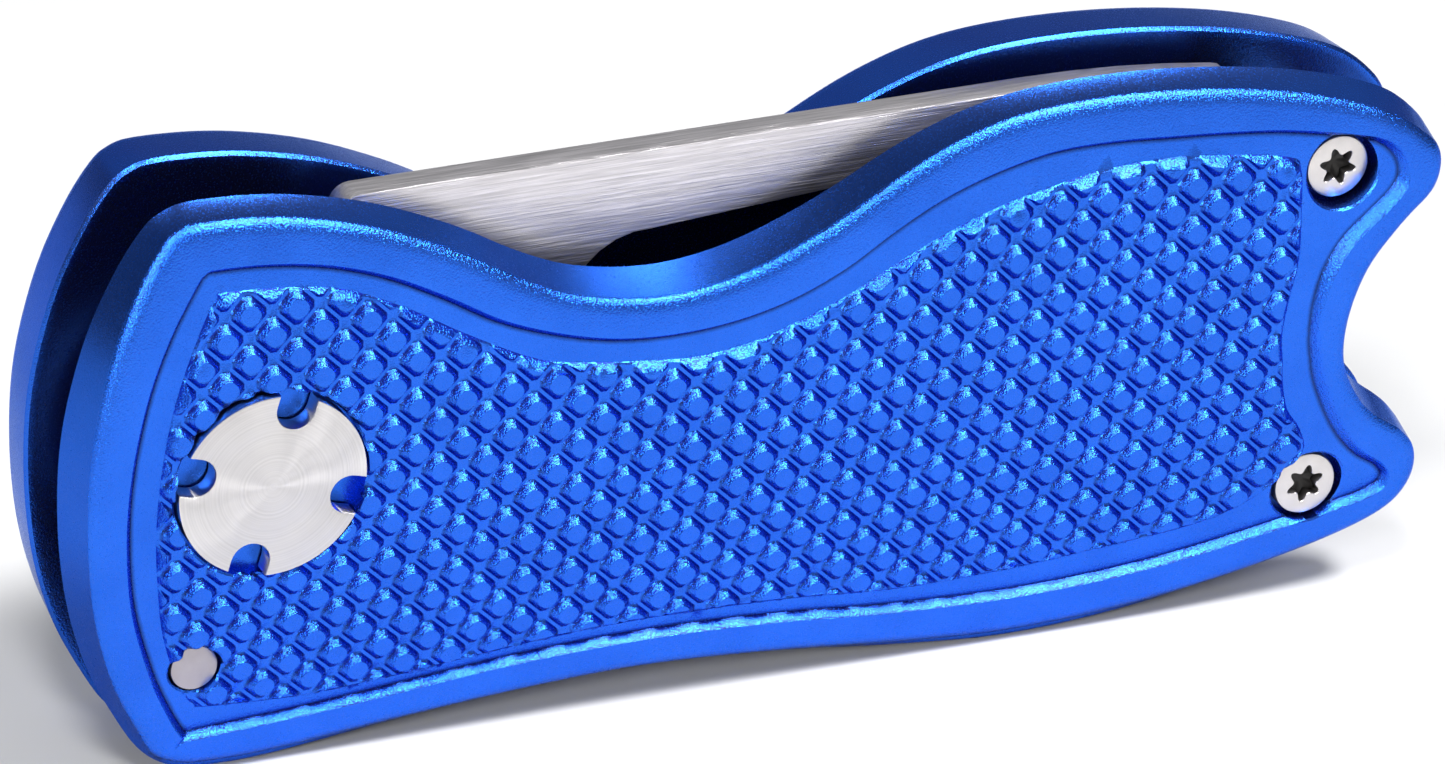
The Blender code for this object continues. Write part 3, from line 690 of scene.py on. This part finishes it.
class Nodes:
    """Short way to build a material's nodes."""

    def __init__(self, name):
        self.material = bpy.data.materials.new(name)
        self.material.use_nodes = True
        self.tree = self.material.node_tree
        self.shader = self.tree.nodes["Principled BSDF"]
        self.place = self.add("ShaderNodeTexCoord").outputs["Object"]

    def add(self, kind, **settings):
        node = self.tree.nodes.new(kind)
        for key, value in settings.items():
            setattr(node, key, value)
        return node

    def link(self, output, target):
        self.tree.links.new(output, target)

    def noise(self, size, detail, stretch=(1, 1, 1), turn=(0, 0, 0)):
        """Noise whose features are about size millimetres."""
        mapping = self.add("ShaderNodeMapping", vector_type="TEXTURE")
        mapping.inputs["Scale"].default_value = stretch
        mapping.inputs["Rotation"].default_value = turn
        self.link(self.place, mapping.inputs["Vector"])
        noise = self.add("ShaderNodeTexNoise")
        noise.inputs["Scale"].default_value = 1 / (size * MM)
        noise.inputs["Detail"].default_value = detail
        self.link(mapping.outputs["Vector"], noise.inputs["Vector"])
        return noise.outputs["Fac"]

    def rescale(self, value, low, high, new_low, new_high):
        """Value with low to high stretched to new_low to new_high, and cut off there."""
        node = self.add("ShaderNodeMapRange")
        for key, number in (("From Min", low), ("From Max", high),
                            ("To Min", new_low), ("To Max", new_high)):
            node.inputs[key].default_value = number
        self.link(value, node.inputs["Value"])
        return node.outputs["Result"]

    def corner_value(self, name):
        """A value that the mesh carries at each corner; it is 0 where the mesh has none."""
        return self.add("ShaderNodeAttribute", attribute_name=name).outputs["Fac"]

    def times(self, one, other):
        """The product of two outputs."""
        node = self.add("ShaderNodeMath", operation="MULTIPLY")
        self.link(one, node.inputs[0])
        self.link(other, node.inputs[1])
        return node.outputs[0]

    def vector(self, operation, value, other=(0.0, 0.0, 0.0)):
        """A vector maths node on an output and a fixed vector."""
        node = self.add("ShaderNodeVectorMath", operation=operation)
        node.inputs[1].default_value = other
        self.link(value, node.inputs[0])
        return node

    def ramp(self, value, dark, light):
        """From dark at 0 to light at 1; either may be a colour or a node's output."""
        node = self.add("ShaderNodeMix", data_type="RGBA")
        for key, colour in (("A", dark), ("B", light)):
            socket = next(i for i in node.inputs if i.name == key and i.type == "RGBA")
            if hasattr(colour, "links"):
                self.link(colour, socket)
            else:
                socket.default_value = (*colour, 1)
        self.link(value, node.inputs["Factor"])
        return next(o for o in node.outputs if o.type == "RGBA")

    def bump(self, height, depth, under=None):
        """Bump of that depth in millimetres, on top of another bump if given."""
        node = self.add("ShaderNodeBump")
        node.inputs["Distance"].default_value = depth * MM
        self.link(height, node.inputs["Height"])
        if under is not None:
            self.link(under, node.inputs["Normal"])
        return node.outputs["Normal"]

    def set(self, **sockets):
        """Values or outputs for the shader's sockets; _ in a name stands for a space."""
        for key, value in sockets.items():
            socket = self.shader.inputs[key.replace("_", " ")]
            if hasattr(value, "links"):
                self.link(value, socket)
            else:
                socket.default_value = value


def scaled(colour, factor):
    return tuple(min(1.0, channel * factor) for channel in colour)


def anodised(name, dark, light, roughness, grain):
    """Dyed metal over a blasted grain that is coarser where the mesh says so, painted darker where
    the mesh carries painted shade.

    grain is the depth of the coarsest grain, in millimetres.
    """
    made = Nodes(name)
    cloud = made.rescale(made.noise(4.0, 3.0), 0.3, 0.7, 0.0, 1.0)
    speck = made.noise(0.12, 2.0)
    fine = made.noise(0.05, 1.0)
    under = made.bump(made.times(speck, made.corner_value("grain")), grain)
    colour = made.ramp(cloud, dark, light)
    # painted shade: the colour turns towards deep where the mesh carries painted shade
    deep = scaled(dark, 0.18)
    made.set(Base_Color=made.ramp(made.corner_value("shade"), colour, deep), Metallic=1.0,
             Roughness=made.rescale(speck, 0.3, 0.7, roughness - 0.06, roughness + 0.08),
             Normal=made.bump(fine, grain * 0.15, under=under), Coat_Weight=0.3,
             Coat_Roughness=0.4, Specular_Tint=(0.30, 0.45, 0.80, 1.0))
    return made.material


def brushed(name, colour, turn):
    """Steel with long scratches along X, turned by the angles of turn."""
    made = Nodes(name)
    long_lines = made.noise(0.06, 3.0, stretch=(50, 1, 1), turn=turn)
    broad = made.noise(0.18, 2.0, stretch=(40, 1, 1), turn=turn)
    streaks = made.rescale(made.times(long_lines, broad), 0.12, 0.38, 0.0, 1.0)
    made.set(Base_Color=made.ramp(streaks, scaled(colour, 0.72), scaled(colour, 1.10)),
             Metallic=1.0,
             Roughness=made.rescale(long_lines, 0.3, 0.7, 0.34, 0.48),
             Normal=made.bump(long_lines, 0.03))
    return made.material


def turned_finish(name, colour, centre):
    """Steel with fine rings around the line through centre along Y."""
    made = Nodes(name)
    shift = made.vector("SUBTRACT", made.place, (centre[0] * MM, 0.0, centre[1] * MM))
    flatten = made.vector("MULTIPLY", shift.outputs["Vector"], (1.0, 0.0, 1.0))
    length = made.vector("LENGTH", flatten.outputs["Vector"])
    rings = made.add("ShaderNodeTexNoise", noise_dimensions="1D")
    rings.inputs["Scale"].default_value = 1 / (0.12 * MM)
    rings.inputs["Detail"].default_value = 3.0
    made.link(length.outputs["Value"], rings.inputs["W"])
    mottled = made.noise(1.2, 3.0)
    tangent = made.add("ShaderNodeTangent", direction_type="RADIAL", axis="Y")
    metal = made.ramp(rings.outputs["Fac"], scaled(colour, 0.82), scaled(colour, 1.06))
    made.set(Base_Color=metal, Metallic=1.0,
             Roughness=made.rescale(mottled, 0.3, 0.7, 0.33, 0.38),
             Normal=made.bump(rings.outputs["Fac"], 0.008), Anisotropic=0.9,
             Tangent=tangent.outputs["Tangent"])
    return made.material


def satin(name, colour, roughness):
    """Smooth bare metal, painted darker where the mesh carries painted shade."""
    made = Nodes(name)
    speck = made.noise(0.08, 3.0)
    patch = made.noise(0.9, 2.0)
    metal = made.ramp(patch, scaled(colour, 0.85), scaled(colour, 1.05))
    # painted shade: the colour turns towards deep where the mesh carries painted shade
    deep = scaled(colour, 0.06)
    made.set(Base_Color=made.ramp(made.corner_value("shade"), metal, deep), Metallic=1.0,
             Roughness=made.rescale(speck, 0.3, 0.7, roughness - 0.05, roughness + 0.08),
             Normal=made.bump(speck, 0.004))
    return made.material


def plain_plastic(name, dark, light, roughness, coat):
    made = Nodes(name)
    patch = made.noise(1.5, 3.0)
    speck = made.noise(0.1, 2.0)
    made.set(Base_Color=made.ramp(patch, dark, light), Metallic=0.0,
             Roughness=made.rescale(speck, 0.3, 0.7, roughness - 0.04, roughness + 0.06),
             Normal=made.bump(speck, 0.003), Coat_Weight=coat, Coat_Roughness=0.05)
    return made.material


FORK_TURN = (0.0, math.radians(-0.85), 0.0)     # the closed fork leans by this much
BLUE = anodised("blue_anodised", (0.010, 0.110, 0.65), (0.014, 0.130, 0.73), 0.22, 0.05)
FORK_STEEL = brushed("brushed_steel", (0.74, 0.71, 0.73), FORK_TURN)
CAP_STEEL = turned_finish("pivot_steel", (0.66, 0.64, 0.64), PIVOT)
MARKER_STEEL = turned_finish("marker_steel", (0.70, 0.68, 0.67), MARKER)
BUTTON_STEEL = turned_finish("button_steel", (0.68, 0.66, 0.65), BUTTON)
SCREW_STEEL = satin("screw_steel", (0.68, 0.65, 0.64), 0.36)
PIN_STEEL = satin("pin_steel", (0.42, 0.39, 0.42), 0.36)
SPRING_STEEL = satin("spring_steel", (0.34, 0.33, 0.32), 0.36)
MAGNET_PLATING = satin("magnet_plating", (0.50, 0.50, 0.52), 0.2)
ENAMEL = plain_plastic("enamel", (0.66, 0.69, 0.72), (0.80, 0.82, 0.84), 0.25, 0.6)
POLYMER = plain_plastic("polymer", (0.03, 0.03, 0.033), (0.05, 0.05, 0.055), 0.5, 0.0)


# ---- pieces ----

def crowned(points):
    """Y of the textured scale's outer face."""
    return TEXTURED_FRONT + (points[:, 1] - CROWN_HEIGHT) ** 2 / (2 * CROWN_RADIUS)


def flat_outer(points):
    """Y of the marker scale's outer face."""
    return np.full(len(points), MARKER_OUTER)


def screw_hole(place, floor, inner_y):
    """A recess for the screw's head and a clearance hole for its shank."""
    shank = SHANK_RADIUS + GAP
    steps = [(RECESS_RADIUS, floor), (shank, floor), (shank, inner_y)]
    return Hole(place, RECESS_RADIUS, steps, HOLE_SHADE)


def make_textured_scale():
    outline = smooth_loop(cad_outline("textured_scale", TEXTURED_BACK - INNER_CHAMFER),
                          OUTLINE_STEPS)
    cap_floor = CAP_FRONT + CAP_THICKNESS + GAP
    bore = BARREL_RADIUS + GAP
    seat = CAP_RADIUS + GAP
    steps = [(seat, cap_floor), (bore, cap_floor), (bore, TEXTURED_BACK)]
    holes = [Hole(PIVOT, seat, steps, SEAT_SHADE)]
    head_floor = TEXTURED_HEAD_TOP + HEAD_THICKNESS + GAP
    for place in (UPPER_SCREW, LOWER_SCREW):
        holes.append(screw_hole(place, head_floor, TEXTURED_BACK))
    pin = STOP_PIN_RADIUS + GAP
    holes.append(Hole(STOP_PIN, pin, [(pin, TEXTURED_BACK)], HOLE_SHADE))
    creases, shape_at = relief(holes, [])
    edge = (wall_draft(outline, EXTRA_DRAFT), TEXTURED_EDGE_RADIUS, TEXTURED_EDGE_ANGLES)
    made = scale_mesh(outline, crowned, TEXTURED_BACK, edge, creases, holes, shape_at)
    made.finish("textured_scale_relief", "textured_scale")


def marker_face_holes():
    """The holes in the marker scale: pivot flange, ball marker, button and two screws."""
    flange = FLANGE_RADIUS + GAP
    flange_floor = FLANGE_TOP - FLANGE_THICKNESS - GAP
    bore = BARREL_RADIUS + GAP
    seat = MARKER_RADIUS + GAP
    seat_floor = MARKER_TOP - MARKER_THICKNESS - GAP
    magnet = MAGNET_RADIUS + GAP
    magnet_floor = seat_floor - MAGNET_THICKNESS - 2 * GAP
    button = BUTTON_RADIUS + GAP
    plunger = PLUNGER_RADIUS + GAP
    barrel_steps = [(flange, flange_floor), (bore, flange_floor), (bore, SPRING_WELL_FLOOR),
                    (SPRING_WELL_RADIUS, SPRING_WELL_FLOOR), (SPRING_WELL_RADIUS, MARKER_INNER)]
    marker_steps = [(seat, seat_floor), (magnet, seat_floor), (magnet, magnet_floor)]
    button_steps = [(button, BUTTON_STEP), (plunger, BUTTON_STEP), (plunger, MARKER_INNER)]
    holes = [Hole(PIVOT, flange, barrel_steps, HOLE_SHADE),
             Hole(MARKER, seat, marker_steps, SEAT_SHADE),
             Hole(BUTTON, button, button_steps, HOLE_SHADE)]
    head_floor = MARKER_HEAD_TOP - HEAD_THICKNESS - GAP
    for place in (UPPER_SCREW, LOWER_SCREW):
        holes.append(screw_hole(place, head_floor, MARKER_INNER))
    return holes


def make_marker_scale():
    outline = smooth_loop(cad_outline("marker_scale", MARKER_INNER + INNER_CHAMFER),
                          OUTLINE_STEPS)
    holes = marker_face_holes()
    pads = [(hole.centre, hole.radius + PAD_WIDTH) for hole in holes]
    creases, shape_at = relief(holes, pads)
    notch = (MARKER[0] + MARKER_RADIUS + FINGER_NOTCH_OFFSET, MARKER[1])
    notch_depth = MARKER_OUTER - FINGER_NOTCH_FLOOR
    creases += [circle(notch, FINGER_NOTCH_RADIUS - inset, 48) for inset in FINGER_NOTCH_RINGS]

    def with_notch(points):
        inside = FINGER_NOTCH_RADIUS - np.hypot(*(points - np.array(notch)).T)
        depth, shade, grain = shape_at(points)
        dip = notch_depth * ease((inside + 0.2) / FINGER_NOTCH_SLOPE)
        return np.maximum(depth, dip), shade, grain

    edge = (wall_draft(outline, 0.0), MARKER_EDGE_RADIUS, MARKER_EDGE_ANGLES)
    made = scale_mesh(outline, flat_outer, MARKER_INNER, edge, creases, holes, with_notch)
    made.finish("marker_scale_relief", "marker_scale")


def make_fork():
    """The CAD fork with its edges broken."""
    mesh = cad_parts["fork"].data.copy()
    work = bmesh.new()
    work.from_mesh(mesh)
    bmesh.ops.remove_doubles(work, verts=work.verts, dist=1e-6)
    bmesh.ops.dissolve_limit(work, angle_limit=math.radians(1), verts=work.verts,
                             edges=work.edges)
    edges = [e for e in work.edges if e.calc_face_angle(0) > math.radians(40)]
    bmesh.ops.bevel(work, geom=edges, offset=FORK_BROKEN_EDGE * MM, offset_type="OFFSET",
                    segments=2, profile=0.5, affect="EDGES", clamp_overlap=True)
    bmesh.ops.triangulate(work, faces=[f for f in work.faces if len(f.verts) > 4])
    work.to_mesh(mesh)
    work.free()
    mesh.materials.clear()
    finish_piece("fork_bright", mesh, "fork", FORK_STEEL, ["fork"], 30)


def cap_loop(inset):
    """Round outline with four round-ended notches, moved inwards by inset."""
    radius = CAP_RADIUS - inset
    half = NOTCH_HALF_WIDTH + inset
    opening = math.degrees(math.asin(half / radius))
    reach = CAP_RADIUS - NOTCH_DEPTH + NOTCH_HALF_WIDTH
    loop = []
    for k in range(4):
        middle = NOTCH_FIRST_ANGLE + 90 * k
        for angle in np.radians(np.linspace(middle - 90 + opening, middle - opening, 26)):
            loop.append((radius * math.cos(angle), radius * math.sin(angle)))
        turn = math.radians(middle)
        for angle in np.radians(np.linspace(middle - 90, middle - 270, 17)):
            loop.append((reach * math.cos(turn) + half * math.cos(angle),
                         reach * math.sin(turn) + half * math.sin(angle)))
    return np.array(loop) + np.array(PIVOT)


def make_pivot_cap():
    """The notched cap with its stem."""
    back = CAP_FRONT + CAP_THICKNESS
    rings = [(cap_loop(CAP_EDGE), CAP_FRONT),
             (cap_loop(CAP_EDGE * 0.3), CAP_FRONT + 0.3 * CAP_EDGE),
             (cap_loop(0.0), CAP_FRONT + CAP_EDGE), (cap_loop(0.0), back)]
    vertices, faces = lofted_mesh(rings)
    start = back - STEM_OVERLAP
    stem = turned_mesh([(0.0, start), (STEM_RADIUS, start), (STEM_RADIUS, STEM_END),
                        (0.0, STEM_END)], PIVOT, SLIM_SIDES)
    faces += [tuple(i + len(vertices) for i in face) for face in stem[1]]
    vertices += stem[0]
    new_piece("pivot_cap_face", vertices, faces, "handle", CAP_STEEL,
              ["pivot_cap"])


def closes_profile(vertices, face, one, other):
    """Whether a face of a turned solid joins the levels one and other."""
    levels = {round(vertices[i][1], 6) for i in face}
    return levels == {round(one, 6), round(other, 6)}


def make_pivot_barrel():
    """The sleeve around the stem, with two blind spanner holes in its flange."""
    bore = STEM_RADIUS + GAP
    bore_end = STEM_END + GAP
    under = FLANGE_TOP - FLANGE_THICKNESS
    edge = FLANGE_RADIUS - FLANGE_CHAMFER
    vertices, faces = turned_mesh([
        (edge, FLANGE_TOP), (FLANGE_RADIUS, FLANGE_TOP - FLANGE_CHAMFER),
        (FLANGE_RADIUS, under), (BARREL_RADIUS, under), (BARREL_RADIUS, BARREL_FRONT),
        (bore, BARREL_FRONT), (bore, bore_end), (0.0, bore_end)], PIVOT)
    faces = [f for f in faces if not closes_profile(vertices, f, FLANGE_TOP, bore_end)]
    rim = circle(PIVOT, edge, ROUND_SIDES)
    mouths = [circle((PIVOT[0] + side * SPANNER_HOLE_OFFSET, PIVOT[1]), SPANNER_HOLE_RADIUS,
                     SMALL_SIDES) for side in (-1, 1)]
    _, triangles, places = fill_loop([rim] + mouths)
    known = dict(zip(places[0], range(ROUND_SIDES)))
    for place, mouth in zip(places[1:], mouths):
        top = len(vertices)
        floor = top + SMALL_SIDES
        vertices += [(x, FLANGE_TOP, z) for x, z in mouth]
        vertices += [(x, FLANGE_TOP - SPANNER_HOLE_DEPTH, z) for x, z in mouth]
        known.update(zip(place, range(top, floor)))
        for i in range(SMALL_SIDES):
            j = (i + 1) % SMALL_SIDES
            faces.append((top + i, top + j, floor + j, floor + i))
        faces.append(tuple(range(floor, floor + SMALL_SIDES)))
    faces += [tuple(known[i] for i in t) for t in triangles]
    new_piece("pivot_barrel_flange", vertices, faces, "handle", CAP_STEEL,
              ["pivot_barrel"])


def star_loop(turn, grow=0.0):
    """Outline of a six-lobed driver socket around (0, 0), turned by turn degrees."""
    loop = []
    for k in range(ROUND_SIDES):
        angle = math.tau * k / ROUND_SIDES
        wave = 0.5 + 0.5 * math.cos(6 * angle)
        radius = STAR_INNER + (STAR_OUTER - STAR_INNER) * wave ** STAR_SHARPNESS + grow
        loop.append((radius * math.cos(angle + math.radians(turn)),
                     radius * math.sin(angle + math.radians(turn))))
    return np.array(loop)


def make_screw(name, place, head_top, inward, turn):
    """A flat-headed screw; inward is +1 or -1, the way its shank points along Y."""
    start = math.radians(turn)
    middle = np.array(place)
    back = head_top + inward * HEAD_THICKNESS
    end = back + inward * SHANK_LENGTH
    floor = head_top + inward * STAR_DEPTH

    def ring(radius):
        return circle(place, radius, ROUND_SIDES, start)

    socket = star_loop(turn)
    rings = [
        (middle + 0.35 * socket, floor + inward * 0.12), (middle + 0.97 * socket, floor),
        (middle + socket, head_top + inward * STAR_EDGE),
        (middle + star_loop(turn, STAR_EDGE), head_top),
        (ring(HEAD_RADIUS - HEAD_EDGE), head_top),
        (ring(HEAD_RADIUS - 0.29 * HEAD_EDGE), head_top + inward * 0.29 * HEAD_EDGE),
        (ring(HEAD_RADIUS), head_top + inward * HEAD_EDGE), (ring(HEAD_RADIUS), back),
        (ring(SHANK_RADIUS), back), (ring(SHANK_RADIUS), end - inward * SHANK_CHAMFER),
        (ring(SHANK_RADIUS - SHANK_CHAMFER), end)]
    vertices, faces = lofted_mesh(rings)
    # painted shade inside the driver socket, darkest at its floor
    darkness = [1.0, 1.0, 0.3] + [0.0] * (len(rings) - 3)
    shade = np.repeat(darkness, len(socket))
    new_piece(name + "_head", vertices, faces, "handle", SCREW_STEEL, [name], 30,
              shade=shade)


def make_fasteners():
    make_screw("textured_upper_screw", UPPER_SCREW, TEXTURED_HEAD_TOP, 1, -13)
    make_screw("textured_lower_screw", LOWER_SCREW, TEXTURED_HEAD_TOP, 1, 21)
    make_screw("marker_upper_screw", UPPER_SCREW, MARKER_HEAD_TOP, -1, 10)
    make_screw("marker_lower_screw", LOWER_SCREW, MARKER_HEAD_TOP, -1, 40)
    vertices, faces = turned_mesh([
        (0.0, STOP_PIN_FRONT), (STOP_PIN_RADIUS - STOP_PIN_EDGE, STOP_PIN_FRONT),
        (STOP_PIN_RADIUS - 0.3 * STOP_PIN_EDGE, STOP_PIN_FRONT + 0.3 * STOP_PIN_EDGE),
        (STOP_PIN_RADIUS, STOP_PIN_FRONT + STOP_PIN_EDGE), (STOP_PIN_RADIUS, STOP_PIN_BACK),
        (0.0, STOP_PIN_BACK)], STOP_PIN, SLIM_SIDES)
    new_piece("stop_pin_round", vertices, faces, "handle", PIN_STEEL,
              ["stop_pin"], 30)


def make_marker():
    """The ball marker with its rolled rim, and the plain disc let into it."""
    bottom = MARKER_TOP - MARKER_THICKNESS
    floor = MARKER_TOP - INLAY_DEPTH
    rim = MARKER_RADIUS - MARKER_RIM
    profile = [(0.0, bottom), (MARKER_RADIUS - COIN_CHAMFER, bottom),
               (MARKER_RADIUS, bottom + COIN_CHAMFER), (MARKER_RADIUS, MARKER_TOP - COIN_ROUNDING)]
    for angle in COIN_ANGLES:
        turn = math.radians(angle)
        profile.append((MARKER_RADIUS - COIN_ROUNDING * (1 - math.cos(turn)),
                        MARKER_TOP - COIN_ROUNDING * (1 - math.sin(turn))))
    profile += [(rim + COIN_LIP, MARKER_TOP), (rim, MARKER_TOP - COIN_LIP), (rim, floor),
                (0.0, floor)]
    vertices, faces = turned_mesh(profile, MARKER, COIN_SIDES)
    new_piece("ball_marker_coin", vertices, faces, "marker", MARKER_STEEL,
              ["ball_marker"], 30)
    edge = rim - GAP
    top = MARKER_TOP - GAP
    groove = top - GROOVE_DEPTH
    vertices, faces = turned_mesh([
        (0.0, floor + GAP), (edge, floor + GAP), (edge, top - INLAY_CHAMFER),
        (edge - INLAY_CHAMFER, top), (GROOVE_OUTER, top), (GROOVE_OUTER - GROOVE_SLOPE, groove),
        (GROOVE_INNER + GROOVE_SLOPE, groove), (GROOVE_INNER, top), (0.0, top)], MARKER, 128)
    new_piece("marker_inlay_disc", vertices, faces, "marker", ENAMEL,
              ["marker_inlay"], 30)


def dress_cad_nodes():
    """Finishes for the CAD pieces that are shown as they are."""
    finishes = {
        "front_washer": CAP_STEEL, "spring_bush": POLYMER, "torsion_spring": SPRING_STEEL,
        "upper_spacer": SCREW_STEEL, "lower_spacer": SCREW_STEEL, "push_button": BUTTON_STEEL,
        "button_clip": SPRING_STEEL, "button_spring": SPRING_STEEL,
        "marker_magnet": MAGNET_PLATING,
    }
    for node, finish in finishes.items():
        for material_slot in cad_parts[node].material_slots:
            material_slot.material = finish


# ---- studio ----

# The camera, and how its own axes lie in the tool's frame
CAMERA_PLACE = (-0.19097, -0.41182, 0.25168)
CAMERA_RIGHT = (0.91761, -0.39406, 0.05215)
CAMERA_UP = (0.13882, 0.44064, 0.88689)
CAMERA_BACK = (-0.37247, -0.80657, 0.45904)
LENS = 227.29
SUBJECT = Vector((0.0, 0.0, 0.017))
FLOOR_REACH = 4.0
FLOOR_LEVEL = -0.0002
SKY_COLOUR = (0.92, 0.95, 1.0, 1)
SKY_STRENGTH = 0.18


def make_camera():
    data = bpy.data.cameras.new("camera")
    data.lens = LENS
    data.sensor_width = 36.0
    data.clip_start = 0.01
    camera = bpy.data.objects.new("camera", data)
    rows = Matrix((CAMERA_RIGHT, CAMERA_UP, CAMERA_BACK))
    camera.matrix_world = Matrix.Translation(CAMERA_PLACE) @ rows.transposed().to_4x4()
    bpy.context.scene.collection.objects.link(camera)
    bpy.context.scene.camera = camera


def add_light(name, way, distance, size, watts):
    """A soft rectangular light that looks at the tool from the direction way."""
    data = bpy.data.lights.new(name, "AREA")
    data.shape = "RECTANGLE"
    data.size, data.size_y = size
    data.energy = watts
    light = bpy.data.objects.new(name, data)
    light.location = SUBJECT + Vector(way).normalized() * distance
    light.rotation_euler = Vector(way).to_track_quat("Z", "Y").to_euler()
    bpy.context.scene.collection.objects.link(light)


def make_floor():
    mesh = bpy.data.meshes.new("floor")
    corners = [(x * FLOOR_REACH, y * FLOOR_REACH, FLOOR_LEVEL)
               for x, y in ((-1, -1), (1, -1), (1, 1), (-1, 1))]
    mesh.from_pydata(corners, [], [(0, 1, 2, 3)])
    floor = bpy.data.objects.new("floor", mesh)
    bpy.context.scene.collection.objects.link(floor)
    made = Nodes("floor_white")
    made.set(Base_Color=made.ramp(made.noise(60.0, 2.0), (0.71, 0.71, 0.71), (0.73, 0.73, 0.73)),
             Roughness=0.6, Specular_IOR_Level=0.2)
    mesh.materials.append(made.material)


def make_lights():
    world = bpy.data.worlds.new("studio")
    world.use_nodes = True
    sky = world.node_tree.nodes["Background"]
    sky.inputs["Color"].default_value = SKY_COLOUR
    sky.inputs["Strength"].default_value = SKY_STRENGTH
    bpy.context.scene.world = world

    add_light("overhead", (0.37, -0.36, 0.86), 0.7, (0.17, 0.14), 5.4)
    add_light("upper_left", (-0.30, -0.47, 0.82), 0.75, (0.14, 0.14), 2.4)
    add_light("left_front", (-0.62, -0.68, 0.45), 0.8, (0.18, 0.18), 2.8)
    add_light("backdrop", (0.37, 0.81, 0.46), 1.5, (2.8, 1.8), 3.2)
    add_light("front_fill", (0.35, -0.90, 0.20), 1.6, (2.4, 0.9), 4.5)
    bpy.context.scene.view_settings.view_transform = "Standard"


make_textured_scale()
make_marker_scale()
make_fork()
make_pivot_cap()
make_pivot_barrel()
make_fasteners()
make_marker()
dress_cad_nodes()
make_camera()
make_floor()
make_lights()
